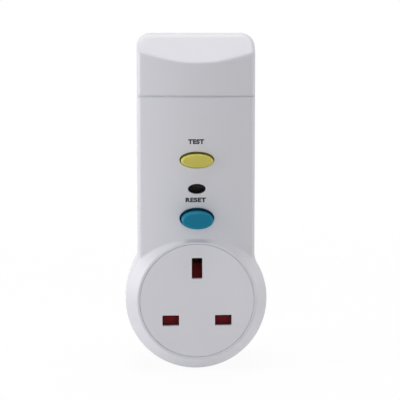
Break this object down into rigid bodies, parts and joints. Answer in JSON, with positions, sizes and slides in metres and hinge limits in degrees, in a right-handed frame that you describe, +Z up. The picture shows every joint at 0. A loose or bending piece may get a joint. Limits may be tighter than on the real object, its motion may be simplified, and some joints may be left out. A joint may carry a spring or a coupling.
{
  "type": "rcd adapter plug",
  "caption": "Plug-in residual current adapter: flat pins behind, a shuttered socket in its round front, and test and reset buttons beside an indicator window on the crowned upper body.",
  "frame": {"origin": "where the socket's axis meets the wall face of the rear cover", "axes": "+Z up along the body, +Y into the wall along the pins, +X to the right seen from the front"},
  "size_m": [0.06, 0.0697, 0.1423],
  "materials": {
    "shell_white": "satin moulded",
    "rear_white": "satin moulded",
    "button_yellow": "satin moulded",
    "button_blue": "satin moulded",
    "shutter_red": "satin moulded",
    "smoked_lens": "polished",
    "pale_moulding": "moulded",
    "dark_moulding": "moulded",
    "brass": "stamped",
    "copper": "bare copper",
    "steel": "zinc plated",
    "core_grey": "sintered",
    "brown_insulation": "smooth",
    "blue_insulation": "smooth",
    "board_green": "lacquered",
    "can_blue": "sleeved can",
    "film_yellow": "cast",
    "varistor_blue": "dipped",
    "resistor_tan": "lacquered"
  },
  "bodies": {
    "casing": {"front_cover": "shell_white", "rear_cover": "rear_white", "casing_screws": "steel", "socket_face": "shell_white", "indicator_window": "smoked_lens", "live_pin": "brass", "neutral_pin": "brass", "earth_pin": "brass", "pin_sleeves": "dark_moulding", "contact_block": "pale_moulding", "live_socket_contact": "brass", "neutral_socket_contact": "brass", "earth_socket_contact": "brass", "shutter_spring": "steel", "live_in_bar": "copper", "neutral_in_bar": "copper", "live_out_bar": "copper", "neutral_out_bar": "copper", "live_wire": "brown_insulation", "neutral_wire": "blue_insulation", "sensing_core": "core_grey", "sensing_winding": "copper", "mechanism_base": "dark_moulding", "mechanism_bridge": "dark_moulding", "bridge_screws": "steel", "opening_springs": "steel", "reset_spring": "steel", "test_spring": "steel", "test_contact": "brass", "flag_spindle": "steel", "coil_yoke": "steel", "coil_bobbin": "pale_moulding", "trip_coil": "copper", "plunger_spring": "steel", "lever_pin": "steel", "circuit_board": "board_green", "control_chip": "dark_moulding", "electrolytic_capacitor": "can_blue", "film_capacitor": "film_yellow", "varistor": "varistor_blue", "resistors": "resistor_tan", "diodes": "dark_moulding"},
    "test_button": {"test_button": "button_yellow"},
    "reset_button": {"reset_button": "button_blue"},
    "contact_carrier": {"contact_carrier": "pale_moulding", "live_moving_contact": "copper", "neutral_moving_contact": "copper"},
    "indicator_flag": {"indicator_flag": "dark_moulding", "flag_red_face": "shutter_red"},
    "plunger": {"plunger": "steel"},
    "trip_lever": {"trip_lever": "dark_moulding"},
    "shutter": {"shutter": "shutter_red"}
  },
  "joints": [
    {"name": "test_press", "type": "slide", "parent": "casing", "child": "test_button", "axis": [0, 1, 0], "range_m": [0, 0.0016], "stiffness_N_per_m": 800, "springref_m": -0.001, "deforming": ["test_spring", "test_contact"]},
    {"name": "reset_press", "type": "slide", "parent": "casing", "child": "reset_button", "axis": [0, 1, 0], "range_m": [0, 0.004], "stiffness_N_per_m": 500, "springref_m": -0.002, "deforming": ["reset_spring"]},
    {"name": "carrier_close", "type": "slide", "parent": "casing", "child": "contact_carrier", "axis": [0, 1, 0], "range_m": [0, 0.0025], "deforming": ["opening_springs"]},
    {"name": "flag_turn", "type": "hinge", "parent": "casing", "child": "indicator_flag", "pos_m": [0, -0.0288, 0.0474], "axis": [1, 0, 0], "range_deg": [0, 32]},
    {"name": "plunger_pull", "type": "slide", "parent": "casing", "child": "plunger", "axis": [0, 0, 1], "range_m": [0, 0.0016], "stiffness_N_per_m": 300, "springref_m": -0.002, "deforming": ["plunger_spring"]},
    {"name": "lever_trip", "type": "hinge", "parent": "casing", "child": "trip_lever", "pos_m": [-0.0085, -0.0138, 0.0525], "axis": [-1, 0, 0], "range_deg": [0, 24]},
    {"name": "shutter_slide", "type": "slide", "parent": "casing", "child": "shutter", "axis": [0, 0, -1], "range_m": [0, 0.0054], "stiffness_N_per_m": 150, "springref_m": -0.004, "deforming": ["shutter_spring"]}
  ],
  "couplings": [
    {"joint": "carrier_close", "follows": "reset_press", "ratio": 0.625},
    {"joint": "flag_turn", "follows": "reset_press", "rad_per_m": 139.6},
    {"joint": "lever_trip", "follows": "plunger_pull", "rad_per_m": 261.7}
  ]
}
